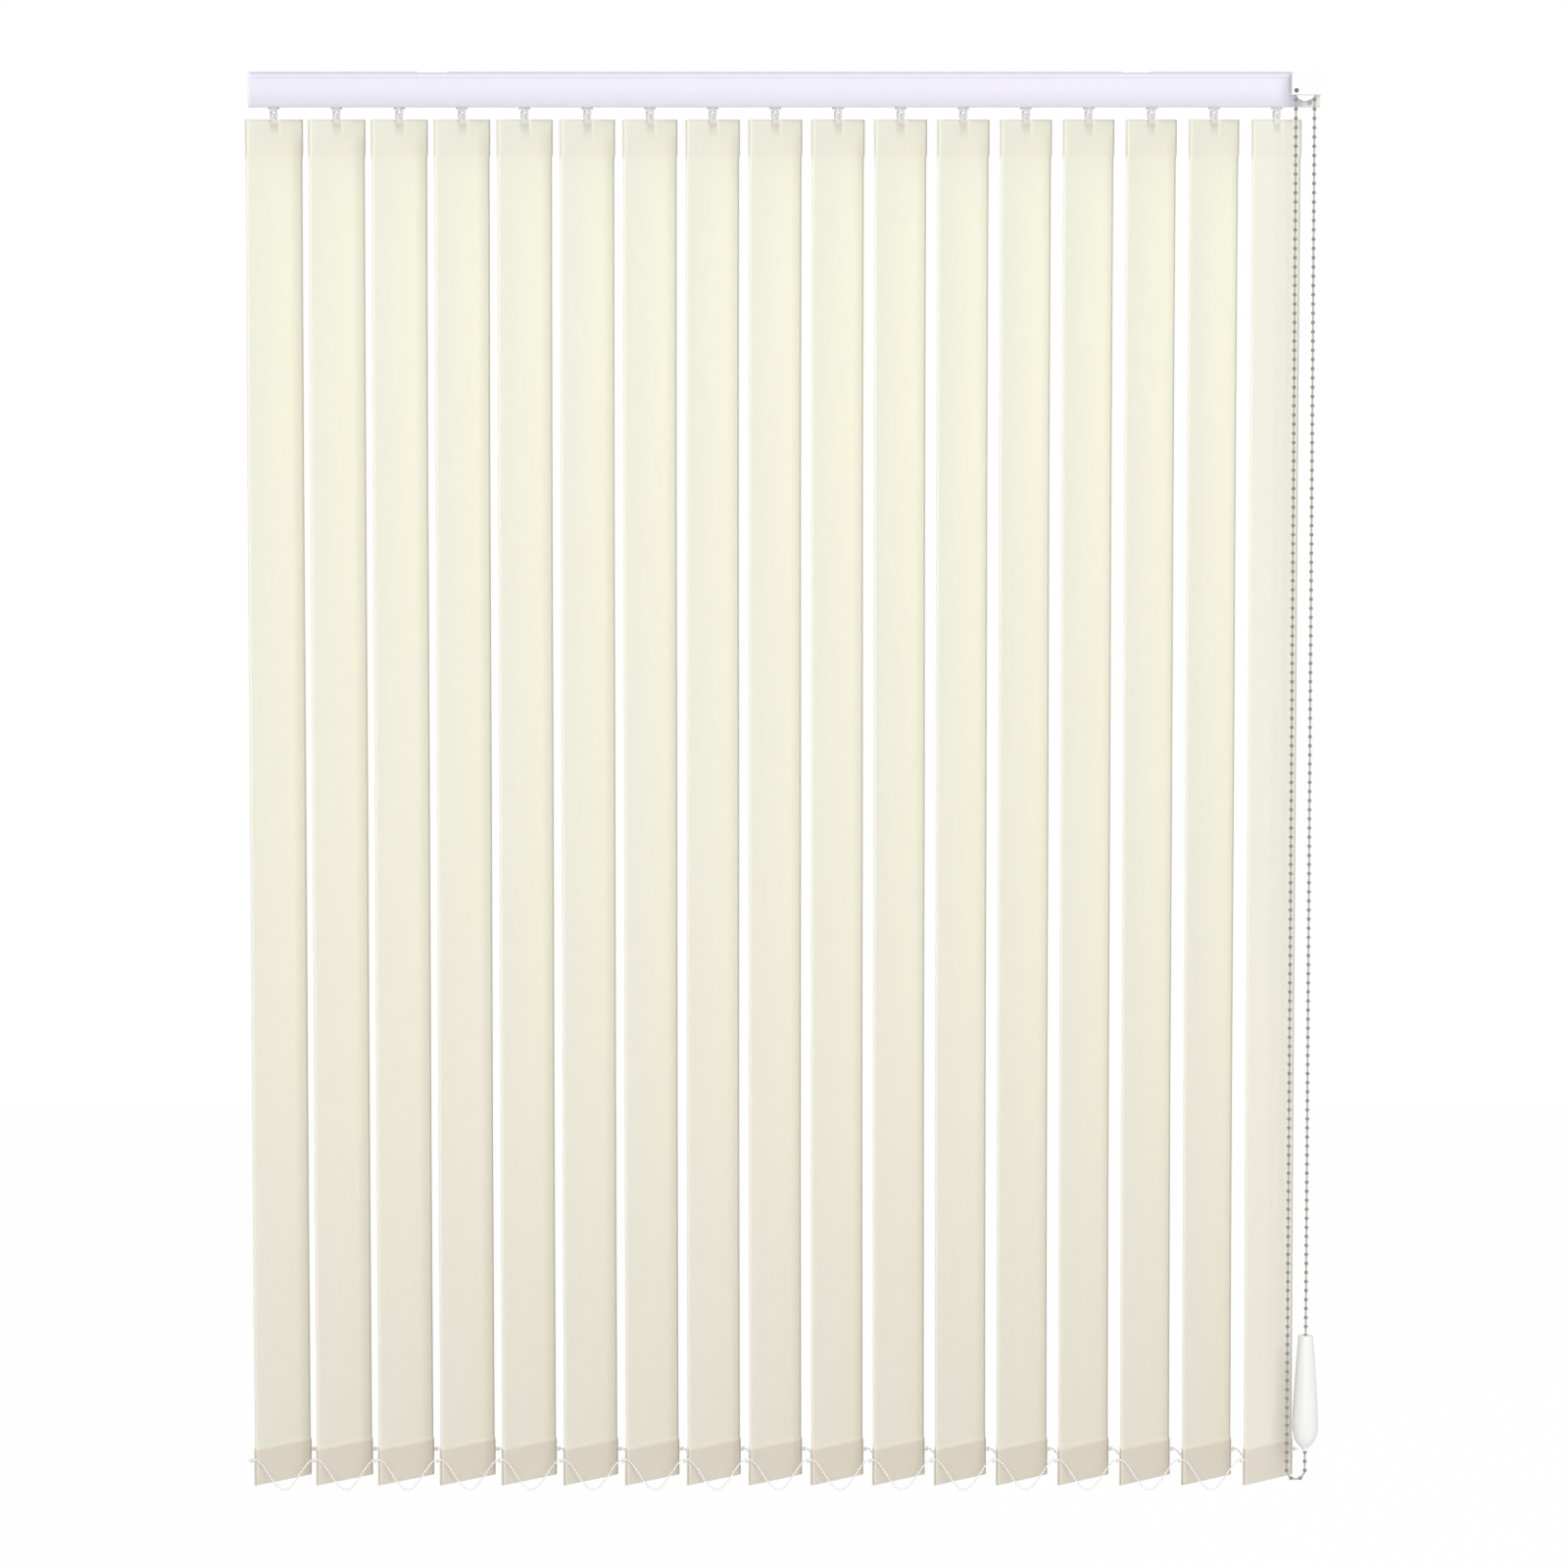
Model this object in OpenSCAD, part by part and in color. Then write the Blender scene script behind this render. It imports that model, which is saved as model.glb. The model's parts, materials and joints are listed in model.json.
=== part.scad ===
// Vertical blind: fabric slats that hang and turn under a wheeled headrail,
// tilted by an endless bead chain at the right end.
// Millimetres, +Z up, X along the rail, the front faces -Y.
// The origin is on the fixing face, midway between the two bracket screws.

/* [Headrail] */
// Length of the rail between its end pieces
rail_l = 1197; // [1100:1:1300]
// Depth of the rail, front to back
rail_d = 46; // [44:1:52]
// Height of the rail
rail_h = 40; // [39:1:46]
// Wall of the rail
rail_t = 1.6; // [1.2:0.1:2]
// Height of the upright upper part of each face
rail_brow = 20; // [16:1:24]
// How far each face tucks in towards the bottom
rail_tuck = 5; // [3:0.5:6]
// Radius of the upper edges
rail_edge_r = 1.5; // [0.8:0.1:2.5]
// Distance of the fine groove below the upper edge
groove_drop = 6; // [4:0.5:8]
// Width of the fine groove
groove_w = 1.2; // [0.8:0.1:1.6]
// Depth of the fine groove
groove_d = 0.7; // [0.4:0.1:0.9]
// Width of the running slot on the underside
slot_w = 20; // [19:0.5:22]
// Mouth of the fixing channel on the top
channel_mouth = 18; // [16:0.5:20]
// Undercut on each side of the fixing channel
channel_undercut = 3; // [2:0.5:4]
// Depth of the fixing channel
channel_depth = 4.6; // [4.2:0.1:5]
// Lip over the undercut
channel_lip = 1.4; // [1:0.1:1.8]

/* [Brackets] */
// Distance between the two fixing screws
bracket_spacing = 800; // [500:10:1000]
// Length of a bracket along the rail
bracket_l = 32; // [24:1:40]
// Width of the plate that meets the ceiling
bracket_w = 40; // [30:1:42]
// Thickness of that plate
bracket_t = 1.6; // [1.2:0.1:3]
// Diameter of the screw hole
screw_hole_d = 4.5; // [3.5:0.1:5.5]
// Diameter of the recess for the screw head
screw_head_d = 9; // [8:0.5:11]
// Depth of the recess for the screw head
screw_head_depth = 2; // [1.5:0.1:2.5]

/* [Slats] */
// Width of a slat
slat_w = 89; // [80:1:94]
// Length of a slat, top fold to bottom fold
slat_l = 1574; // [1200:1:1800]
// Thickness of the fabric
fabric_t = 0.6; // [0.4:0.05:0.7]
// Gap between the rail and the tops of the slats
slat_drop = 14; // [13:0.5:20]
// Turn of the slats from the rail's line, as shown
slat_yaw = 48; // [40:1:75]
// Distance of the first slat from the rail's idle end
first_inset = 25; // [20:1:40]
// Distance of the last slat from the rail's control end
last_inset = 28; // [26:1:34]
// Height of the top pocket
top_pocket_h = 40; // [34:1:50]
// Height of the hem pocket
hem_h = 42; // [40:1:60]
// Length of the slope from a pocket to the single sheet
seam_slope = 3; // [2:0.5:5]
// Width of the notch in the top fold
notch_w = 13; // [12:0.5:18]
// Height of the notch in the top fold
notch_h = 5; // [4:0.5:7]

/* [Hangers and weights] */
// Thickness of the hanger and weight plates
plate_t = 1.6; // [1.2:0.1:1.8]
// Play between a plate and its pocket, each side
plate_play = 0.25; // [0.15:0.05:0.3]
// Width of the hanger plate
hanger_w = 78; // [60:1:84]
// Height of the hanger plate inside the pocket
hanger_h = 27; // [20:1:30]
// Width of the hanger's neck
hanger_neck_w = 9; // [7:0.5:11]
// Width of the weight plate
weight_w = 82; // [60:1:84]
// Height of the weight plate
weight_h = 34; // [28:1:36]
// Corner radius of the hanger and weight plates
plate_corner_r = 4; // [2:0.5:8]
// Height of the link pegs above the weight's lower edge
peg_height = 28; // [18:1:28]
// Diameter of the link pegs
peg_d = 2.2; // [1.6:0.1:2.4]
// Room on a link peg between its chain and its knob
peg_room = 2.2; // [2:0.1:3]
// Diameter of the knob on each link peg
knob_d = 3.2; // [2.8:0.1:3.4]
// Length of that knob
knob_l = 0.9; // [0.6:0.1:1.2]

/* [Carriers] */
// Length of a carrier along the rail
carrier_l = 18; // [16:0.5:20]
// Diameter of the carrier wheels
wheel_d = 6.4; // [5:0.2:7]
// Width of the carrier wheels
wheel_w = 4; // [3:0.2:4.4]
// Distance between the two wheels on one side
wheel_base = 10; // [8:0.5:11]
// Running gap between a carrier and the rail
running_gap = 0.3; // [0.2:0.05:0.5]
// Radial play of each turning fit
turn_play = 0.08; // [0.03:0.01:0.1]
// Diameter of the hook stem
stem_d = 6; // [4:0.5:7]
// Diameter of the head that holds the stem in its carrier
head_d = 10.4; // [9:0.2:12]
// Height of that head
head_h = 3.5; // [2.5:0.5:4]
// Diameter of the round boss below the rail
boss_d = 13; // [10:0.5:15]
// How far the boss stands below the rail
boss_drop = 2.5; // [1.5:0.5:4]
// Wall of each hook prong
prong_t = 1.3; // [1:0.1:1.6]
// Width of the hook prongs
prong_w = 2.6; // [2:0.1:4]
// Clear distance between the two hook prongs
prong_span = 7.4; // [6:0.2:8]
// Diameter of the pin across the hook
hook_pin_d = 2.6; // [2:0.1:3]

/* [Tilt drive] */
// Diameter of the tilt rod
rod_d = 7; // [5:0.5:8]
// Diameter of the flutes along the rod
flute_d = 2.2; // [1.5:0.1:3]
// Length of the control housing past the rail
control_l = 20; // [18:1:26]
// Thickness of the idle end cap's plate
cap_t = 3; // [2:0.5:5]
// Reach of the end pieces into the rail
plug_l = 12; // [10:1:18]
// Diameter of the chain beads
bead_d = 4.6; // [4:0.1:5.2]
// Distance from bead to bead
bead_pitch = 10.5; // [9:0.5:12]
// Diameter of the wire between beads
wire_d = 2; // [1.6:0.1:2.4]
// Number of bead gaps in each straight strand
strand_beads = 151; // [100:1:160]
// Width of the chain wheel
chain_wheel_w = 7; // [6:0.5:9]
// Rim of the chain wheel past the bead centres
rim_h = 1.2; // [0.8:0.1:1.6]
// Diameter of the chain wheel's axle
axle_d = 6; // [5:0.5:8]
// Length of the axle behind the wheel
axle_l = 16; // [12:1:20]
// Wall of the control housing round the chain wheel
nose_wall = 2; // [1.5:0.1:3]
// Room between the chain and the housing
chain_room = 0.8; // [0.5:0.1:1.5]
// Clear distance from the chain to the turning slat
chain_clear = 1.5; // [1:0.5:5]
// Corner radius of the control housing
nose_r = 5; // [3:0.5:7]
// Diameter of the round window before the chain's first bead
window_d = 5.2; // [4.6:0.1:6]
// Diameter of the round end of the housing's keyhole
keyhole_d = 5.5; // [5:0.1:6.5]
// Width of the keyhole's slot
keyhole_slot = 4; // [3:0.1:4.5]

/* [Chain weight] */
// Length of the chain weight
drop_l = 135; // [100:1:150]
// Largest diameter of the chain weight
drop_d = 30; // [24:1:32]
// Diameter at the chain weight's upper end
drop_top_d = 17; // [12:1:20]
// Gap from the chain weight's lower tip to the loop's centre
drop_gap = 23; // [8:1:30]

/* [Link chains] */
// Diameter of the link chain
link_d = 2; // [1.6:0.1:2.4]
// Sag of the link chain between two slats
link_sag = 36; // [25:1:45]
// Gap between the link chain and its peg, and between it and the hem
link_gap = 0.45; // [0.3:0.05:0.6]

/* [Hidden] */
$fn = 48;
eps = 0.01;
cut = 1;
slat_count = 17;
wheel_beads = 6;
flute_count = 3;
arc_steps = 6;
tube_sides = 8;

// Rail
rail_top = -bracket_t;
rail_bottom = rail_top - rail_h;
half_d = rail_d / 2;
rail_left = -(cap_t + rail_l + control_l) / 2 + cap_t;
rail_right = rail_left + rail_l;
ledge = rail_bottom + rail_t;
ceiling = rail_top - channel_depth - rail_t;
channel_half = channel_mouth / 2 + channel_undercut;

// Slats
slat_pitch = (rail_l - first_inset - last_inset) / (slat_count - 1);
function slat_x(i) = rail_right - last_inset - (slat_count - i) * slat_pitch;
last_x = slat_x(slat_count);
slat_top = rail_bottom - slat_drop;
slat_bottom = slat_top - slat_l;
pocket_half = plate_t / 2 + plate_play;
fold_half = pocket_half + fabric_t;

// Carrier
carrier_gap = 1;
wheel_cover = 0.8;
rod_cover = 2.5;
chamber_rise = 4;
carrier_top = ceiling - carrier_gap;
block_bottom = ledge + running_gap + wheel_d + wheel_cover;
block_half = half_d - rail_t - rail_tuck - running_gap;
neck_half = slot_w / 2 - 2 * running_gap;
boss_bottom = rail_bottom - boss_drop;
rod_z = carrier_top - rod_d / 2 - rod_cover;
chamber_floor = ledge + chamber_rise;
chamber_top = chamber_floor + head_h + 2 * running_gap;
neck_inset = 1;
hub_d = 3.5;
hub_l = 0.8;
rod_end_gap = 4;

// Hook and hanger
hook_gap = 1.2;
pin_rise = 4.2;
prong_foot = 1.2;
hook_top = boss_bottom - hook_gap;
bridge_h = 2;
eye_wall = 1.6;
peg_root = 4;
hook_pin_z = slat_top + pin_rise;
prong_end = hook_pin_z - hook_pin_d / 2 - prong_foot;
hanger_top = slat_top - fabric_t - plate_play;
weight_low = slat_bottom + fabric_t + plate_play;
peg_z = weight_low + peg_height;
link_r = link_d / 2;
link_reach = slat_w / 2 + (fold_half * cos(slat_yaw) + link_r + link_gap) / sin(slat_yaw);
peg_tip = link_reach + peg_room + knob_l;

// Chain drive
chain_r = bead_pitch / (2 * sin(180 / wheel_beads));
wheel_r = chain_r + rim_h;
drive_x = rail_right + chain_room;
strand_dx = drive_x - chain_r - last_x;
chain_y = -sqrt(pow(peg_tip + bead_d / 2 + chain_clear, 2) - pow(strand_dx, 2));
drive_drop = 1;
drive_z = rail_top - rail_h / 2 - drive_drop;
loop_z = drive_z - strand_beads * bead_pitch;
nose_half = chain_r + bead_d / 2 + chain_room + nose_wall;
nose_front = chain_y - chain_wheel_w / 2 - 2 * running_gap - nose_wall;
nose_back = chain_y + chain_wheel_w / 2 + 2 * running_gap;
nose_low = drive_z - axle_d / 2 - nose_wall;
keyhole_x = rail_right + 7.4;
keyhole_z = rail_bottom + 5.5;
keyhole_depth = 10;
drop_low = loop_z + drop_gap;
drop_waist = 0.24;
drop_foot = 0.02;
drop_taper = 1.3;
drop_lip = 1;

function numbered(name, i) = str(name, "_", i < 10 ? "0" : "", i);

// Points of one rail face, from the foot of the tuck up to the top edge, set in by a wall
function face_curve(inset) = [
    for (k = [arc_steps:-1:0])
        let (a = 90 * k / arc_steps, low = rail_bottom + inset, high = rail_top - rail_brow)
            [half_d - inset - rail_tuck * (1 - cos(a)), high - (high - low) * sin(a)]];

// Quarter round at the upper outer edge
function top_edge() = [
    for (k = [0:3])
        let (a = 30 * k)
            [half_d - rail_edge_r * (1 - cos(a)), rail_top - rail_edge_r * (1 - sin(a))]];

function fine_groove() = [
    [half_d, rail_top - groove_drop - groove_w],
    [half_d - groove_d, rail_top - groove_drop - groove_w / 2],
    [half_d, rail_top - groove_drop]];

function fixing_channel() = [
    [channel_mouth / 2, rail_top],
    [channel_mouth / 2, rail_top - channel_lip],
    [channel_half, rail_top - channel_lip],
    [channel_half, rail_top - channel_depth]];

function rail_inside() = concat(
    [[channel_half + rail_t, ceiling], [channel_half + rail_t, rail_top - rail_t],
     [half_d - rail_t, rail_top - rail_t]],
    reverse(face_curve(rail_t)));

function reverse(points) = [for (k = [len(points) - 1:-1:0]) points[k]];
function mirrored(points) = [for (p = reverse(points)) [-p[0], p[1]]];

// Half of the rail's outside, from the slot to the fixing channel
function rail_outside() = concat(
    [[slot_w / 2, rail_bottom]], face_curve(0), fine_groove(), top_edge(), fixing_channel());

// Carries a flat shape drawn in Y and Z along X
module along_x(from, length) {
    translate([from, 0, 0])
        rotate([90, 0, 90])
            linear_extrude(length)
                children();
}

// Carries a flat shape drawn in X and Z along Y
module along_y(from, length) {
    translate([0, from + length, 0])
        rotate([90, 0, 0])
            linear_extrude(length)
                children();
}

// Puts a slat's own pieces, drawn with the slat along X, in their turned place
module at_slat(i) {
    translate([slat_x(i), 0, 0])
        rotate([0, 0, slat_yaw])
            children();
}

// Full outline of the rail, as its end pieces cover it
function rail_cover() = concat(
    face_curve(0), top_edge());

module headrail() {
    outer = rail_outside();
    inner = concat(rail_inside(), [[slot_w / 2, ledge]]);
    color("ghostwhite")
        along_x(rail_left, rail_l)
            polygon(concat(outer, mirrored(outer), mirrored(inner), inner));
}

// Section of a bracket: plate, neck and foot that slides in the fixing channel
module bracket_section() {
    neck_half = channel_mouth / 2 - running_gap;
    foot_half = channel_half - running_gap;
    foot_top = rail_top - channel_lip - running_gap;
    foot_low = rail_top - channel_depth + running_gap;
    side = [[foot_half, foot_low], [foot_half, foot_top], [neck_half, foot_top],
            [neck_half, rail_top], [bracket_w / 2, rail_top], [bracket_w / 2, 0]];
    polygon(concat(side, mirrored(side)));
}

module brackets() {
    foot_low = rail_top - channel_depth + running_gap;
    color("lightgray")
        for (side = [-1, 1])
            translate([side * bracket_spacing / 2, 0, 0])
                difference() {
                    along_x(-bracket_l / 2, bracket_l)
                        bracket_section();
                    translate([0, 0, foot_low - cut])
                        cylinder(d = screw_hole_d, h = 2 * cut - foot_low);
                    translate([0, 0, foot_low - cut])
                        cylinder(d = screw_head_d, h = cut + screw_head_depth);
                }
}

// Block between the ledges and the rail's inner ceiling
module plug(from, length) {
    low = ledge + running_gap;
    translate([from, -block_half, low])
        cube([length, 2 * block_half, ceiling - running_gap - low]);
}

module rod_bore(from, length) {
    translate([from, 0, rod_z])
        rotate([0, 90, 0])
            cylinder(d = rod_d + 2 * turn_play, h = length);
}

module idle_end_cap() {
    color("white")
        difference() {
            union() {
                along_x(rail_left - cap_t, cap_t)
                    polygon(concat(rail_cover(), mirrored(rail_cover())));
                plug(rail_left - eps, plug_l + eps);
            }
            rod_bore(rail_left, plug_l + cut);
        }
}

module tilt_rod() {
    from = rail_left + running_gap;
    length = rail_right - rod_end_gap - from;
    color("silver")
        translate([from, 0, rod_z])
            rotate([0, 90, 0])
                difference() {
                    cylinder(d = rod_d, h = length);
                    for (k = [0:flute_count - 1])
                        rotate([0, 0, k * 360 / flute_count])
                            translate([rod_d / 2, 0, -cut])
                                cylinder(d = flute_d, h = length + 2 * cut);
                }
}

// Bore and chamber that a hook's stem and head turn in, on the axis x = 0
module stem_seat() {
    translate([0, 0, boss_bottom - cut])
        cylinder(d = stem_d + 2 * turn_play, h = chamber_floor - boss_bottom + cut + eps);
    translate([0, 0, chamber_floor])
        cylinder(d = head_d + 2 * running_gap, h = chamber_top - chamber_floor);
}

// Neck through the rail's slot with the round boss below it
module neck_and_boss() {
    translate([-carrier_l / 2 + neck_inset, -neck_half, rail_bottom])
        cube([carrier_l - 2 * neck_inset, 2 * neck_half, block_bottom - rail_bottom + cut]);
    translate([0, 0, boss_bottom])
        cylinder(d = boss_d, h = boss_drop + cut);
}

module carrier_wheels() {
    for (end = [-1, 1], side = [-1, 1])
        translate([end * wheel_base / 2, side * neck_half, ledge + running_gap + wheel_d / 2])
            rotate([-side * 90, 0, 0]) {
                translate([0, 0, -cut])
                    cylinder(d = hub_d, h = hub_l + cut + eps);
                translate([0, 0, hub_l])
                    cylinder(d = wheel_d, h = wheel_w);
            }
}

module carrier(i) {
    color("gainsboro")
        translate([slat_x(i), 0, 0])
            difference() {
                union() {
                    translate([-carrier_l / 2, -block_half, block_bottom])
                        cube([carrier_l, 2 * block_half, carrier_top - block_bottom]);
                    neck_and_boss();
                    carrier_wheels();
                }
                rod_bore(-carrier_l / 2 - cut, carrier_l + 2 * cut);
                stem_seat();
            }
}

// Plate with rounded corners in X and Z, its lower edge at z = 0
module rounded_plate(width, height, r) {
    along_y(-plate_t / 2, plate_t) {
        translate([-width / 2 + r, 0])
            square([width - 2 * r, height]);
        translate([-width / 2, r])
            square([width, height - 2 * r]);
        for (x = [-1, 1], z = [r, height - r])
            translate([x * (width / 2 - r), z])
                circle(r);
    }
}

// Turning stem with its head in the carrier and two prongs round the hanger's neck
module hook() {
    prong_y = prong_span / 2;
    translate([0, 0, chamber_floor + turn_play])
        cylinder(d = head_d, h = head_h);
    translate([0, 0, hook_top - bridge_h])
        cylinder(d = stem_d, h = chamber_floor - hook_top + bridge_h + cut);
    translate([-prong_w / 2, -prong_y - prong_t, hook_top - bridge_h])
        cube([prong_w, 2 * (prong_y + prong_t), bridge_h]);
    for (side = [0, 1])
        mirror([0, side, 0])
            translate([-prong_w / 2, prong_y, prong_end])
                cube([prong_w, prong_t, hook_top - bridge_h - prong_end + eps]);
    translate([0, prong_y + prong_t / 2, hook_pin_z])
        rotate([90, 0, 0])
            cylinder(d = hook_pin_d, h = 2 * prong_y + prong_t);
}

module hanger() {
    neck_top = hook_pin_z + hook_pin_d / 2 + eye_wall;
    difference() {
        union() {
            translate([0, 0, hanger_top - hanger_h])
                rounded_plate(hanger_w, hanger_h, plate_corner_r);
            translate([-hanger_neck_w / 2, -plate_t / 2, hanger_top - cut])
                cube([hanger_neck_w, plate_t, neck_top - hanger_top + cut]);
        }
        translate([0, plate_t, hook_pin_z])
            rotate([90, 0, 0])
                cylinder(d = hook_pin_d + 2 * running_gap, h = 2 * plate_t);
    }
}

module hem_weight() {
    translate([0, 0, weight_low])
        rounded_plate(weight_w, weight_h, plate_corner_r);
    for (side = [-1, 1])
        translate([side * (weight_w / 2 - peg_root), 0, peg_z])
            rotate([0, side * 90, 0]) {
                cylinder(d = peg_d, h = peg_tip - weight_w / 2 + peg_root);
                translate([0, 0, peg_tip - knob_l - weight_w / 2 + peg_root])
                    cylinder(d = knob_d, h = knob_l);
            }
}

module hanger_and_weight(i) {
    color("white")
        at_slat(i) {
            hook();
            hanger();
            hem_weight();
        }
}

// Round fold of the fabric, from one side over the end to the other
function fold_arc(half, z, up) = [
    for (k = [0:arc_steps])
        let (a = 180 * k / arc_steps)
            [half * cos(a) * up, z + half * sin(a) * up]];

// Side view of the folded fabric: pocket, single sheet, hem
function slat_outline() =
    let (pocket_low = slat_top - top_pocket_h, hem_top = slat_bottom + hem_h, sheet = fabric_t / 2)
    concat(
        fold_arc(fold_half, slat_top - fold_half, 1),
        [[-fold_half, pocket_low], [-sheet, pocket_low - seam_slope],
         [-sheet, hem_top + seam_slope], [-fold_half, hem_top]],
        fold_arc(fold_half, slat_bottom + fold_half, -1),
        [[fold_half, hem_top], [sheet, hem_top + seam_slope],
         [sheet, pocket_low - seam_slope], [fold_half, pocket_low]]);

module pocket_space(points) {
    along_x(-slat_w / 2 - cut, slat_w + 2 * cut)
        polygon(points);
}

module slat(i) {
    pocket_low = slat_top - top_pocket_h;
    hem_top = slat_bottom + hem_h;
    color("beige")
        at_slat(i)
            difference() {
                along_x(-slat_w / 2, slat_w)
                    polygon(slat_outline());
                pocket_space(concat(
                    fold_arc(pocket_half, slat_top - fold_half, 1),
                    [[-pocket_half, pocket_low], [pocket_half, pocket_low]]));
                pocket_space(concat(
                    fold_arc(pocket_half, slat_bottom + fold_half, -1),
                    [[pocket_half, hem_top], [-pocket_half, hem_top]]));
                translate([-notch_w / 2, -fold_half - cut, slat_top - notch_h])
                    cube([notch_w, 2 * (fold_half + cut), notch_h + cut]);
            }
}

// Front view of the control housing, square below and rounded above
module housing_front(left, right, low) {
    translate([left, low])
        square([right - left, rail_top - nose_r - low]);
    translate([left + nose_r, low])
        square([right - left - 2 * nose_r, rail_top - low]);
    for (x = [left + nose_r, right - nose_r])
        translate([x, rail_top - nose_r])
            circle(nose_r);
}

// Room for the wheel and the two strands, open below
module wheel_room() {
    room = nose_half - nose_wall;
    from = nose_front + nose_wall;
    translate([drive_x, nose_back, drive_z])
        rotate([90, 0, 0])
            cylinder(r = room, h = nose_back - from);
    translate([drive_x - room, from, nose_low - cut])
        cube([2 * room, nose_back - from, drive_z - nose_low + cut]);
    translate([drive_x, nose_back - cut, drive_z])
        rotate([-90, 0, 0])
            cylinder(d = axle_d + 2 * turn_play, h = axle_l + 2 * cut);
}

// Round window in the nose and keyhole in the face below it
module housing_openings() {
    translate([drive_x - chain_r, nose_front + nose_wall + cut, drive_z])
        rotate([90, 0, 0])
            cylinder(d = window_d, h = nose_wall + 2 * cut);
    along_y(-half_d - cut, keyhole_depth + cut) {
        translate([keyhole_x, keyhole_z])
            circle(d = keyhole_d);
        translate([keyhole_x - keyhole_slot / 2, keyhole_z])
            square([keyhole_slot, nose_low - cut - keyhole_z]);
    }
}

module control_housing() {
    holder_from = last_x - carrier_l / 2;
    housing_end = rail_right + control_l;
    color("white")
        difference() {
            union() {
                intersection() {
                    along_x(rail_right, control_l)
                        polygon(concat(rail_cover(), mirrored(rail_cover())));
                    along_y(-half_d - cut, rail_d + 2 * cut)
                        housing_front(rail_right - 2 * nose_r, housing_end, rail_bottom - cut);
                }
                along_y(nose_front, -half_d - running_gap - nose_front)
                    housing_front(drive_x - nose_half, housing_end, nose_low);
                translate([rail_right, -half_d - running_gap - cut, nose_low])
                    cube([control_l, running_gap + 2 * cut, rail_top - nose_r - nose_low]);
                plug(holder_from, rail_right - holder_from + eps);
                translate([last_x, 0, 0])
                    neck_and_boss();
            }
            wheel_room();
            housing_openings();
            rod_bore(holder_from - cut, rail_right - running_gap - holder_from);
            translate([last_x, 0, 0])
                stem_seat();
        }
}

module chain_wheel() {
    groove_half = wire_d / 2 + running_gap;
    groove_floor = chain_r * cos(180 / wheel_beads) - wire_d / 2 - running_gap;
    pocket_d = bead_d + 2 * running_gap;
    color("whitesmoke")
        translate([drive_x, chain_y, drive_z])
            rotate([-90, 0, 0])
                difference() {
                    union() {
                        translate([0, 0, -chain_wheel_w / 2])
                            cylinder(r = wheel_r, h = chain_wheel_w);
                        cylinder(d = axle_d, h = chain_wheel_w / 2 + axle_l);
                    }
                    rotate_extrude()
                        translate([groove_floor, -groove_half])
                            square([wheel_r, 2 * groove_half]);
                    for (k = [0:wheel_beads - 1])
                        rotate([0, 0, k * 360 / wheel_beads])
                            translate([chain_r, 0, -pocket_d / 2])
                                cylinder(d = pocket_d, h = pocket_d);
                }
}

// One bead's half outline, from its upper to its lower wire end
function bead_side(z) = [
    for (a = [acos(wire_d / bead_d), 45, 15, -15, -45, -acos(wire_d / bead_d)])
        [bead_d / 2 * cos(a), z + bead_d / 2 * sin(a)]];

// Straight run of beads, turned in one piece
module strand(x) {
    sides = [for (k = [0:strand_beads]) each bead_side(drive_z - k * bead_pitch)];
    end = bead_d / 2 * sin(acos(wire_d / bead_d));
    translate([x, chain_y, 0])
        rotate_extrude()
            polygon(concat([[0, drive_z + end]], sides, [[0, loop_z - end]]));
}

// Wire between two beads of a bend, both given as [x, z]
module wire(p, q) {
    translate([p[0], chain_y, p[1]])
        rotate([0, atan2(q[0] - p[0], q[1] - p[1]), 0])
            cylinder(d = wire_d, h = norm(q - p));
}

// Beads of a half turn about a centre height, over it (up = 1) or under it (up = -1)
module bend(z, up) {
    points = [for (k = [0:wheel_beads / 2])
        let (a = k * 360 / wheel_beads)
            [drive_x + chain_r * cos(a), z + up * chain_r * sin(a)]];
    for (k = [1:len(points) - 2])
        translate([points[k][0], chain_y, points[k][1]])
            sphere(d = bead_d);
    for (k = [0:len(points) - 2])
        wire(points[k], points[k + 1]);
}

module control_chain() {
    color("dimgray") {
        strand(drive_x - chain_r);
        strand(drive_x + chain_r);
        bend(drive_z, 1);
        bend(loop_z, -1);
    }
}

// Half width of the chain weight at a share of its height, slim above and full below
function drop_r(t) =
    let (slim = drop_top_d / 2, full = drop_d / 2)
    t > drop_waist ? full + (slim - full) * pow((t - drop_waist) / (1 - drop_waist), drop_taper)
                   : full * sqrt(max(0, 1 - pow((drop_waist - t) / (drop_waist + drop_foot), 2)));

module chain_weight() {
    bore_r = bead_d / 2 + chain_room / 2;
    steps = 16;
    side = [for (k = [0:steps]) [max(drop_r(k / steps), bore_r + drop_lip), drop_l * k / steps]];
    color("white")
        translate([drive_x + chain_r, chain_y, drop_low])
            rotate_extrude()
                polygon(concat([[bore_r, 0]], side, [[bore_r, drop_l]]));
}

// Fall of a link chain between two pegs at a share of the span, level at the pegs
function link_fall(t) = -link_sag * pow(sin(180 * t), 2);

// Shares of the span that get a ring, closer together at the pegs
link_shares = [0, 0.05, 0.11, 0.2, 0.3, 0.4, 0.5, 0.6, 0.7, 0.8, 0.89, 0.95];
link_tail = 0.08;

// Path of a link chain over the pegs on one side of the slats, as [x, z]
function link_path(side) =
    let (dx = side * link_reach * cos(slat_yaw), z = peg_z + peg_d / 2 + link_gap + link_r)
    [for (s = concat([-link_tail],
                     [for (i = [0:slat_count - 2], t = link_shares) i + t],
                     [slat_count - 1, slat_count - 1 + link_tail]))
        [slat_x(1) + s * slat_pitch + dx, z + link_fall(s)]];

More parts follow.
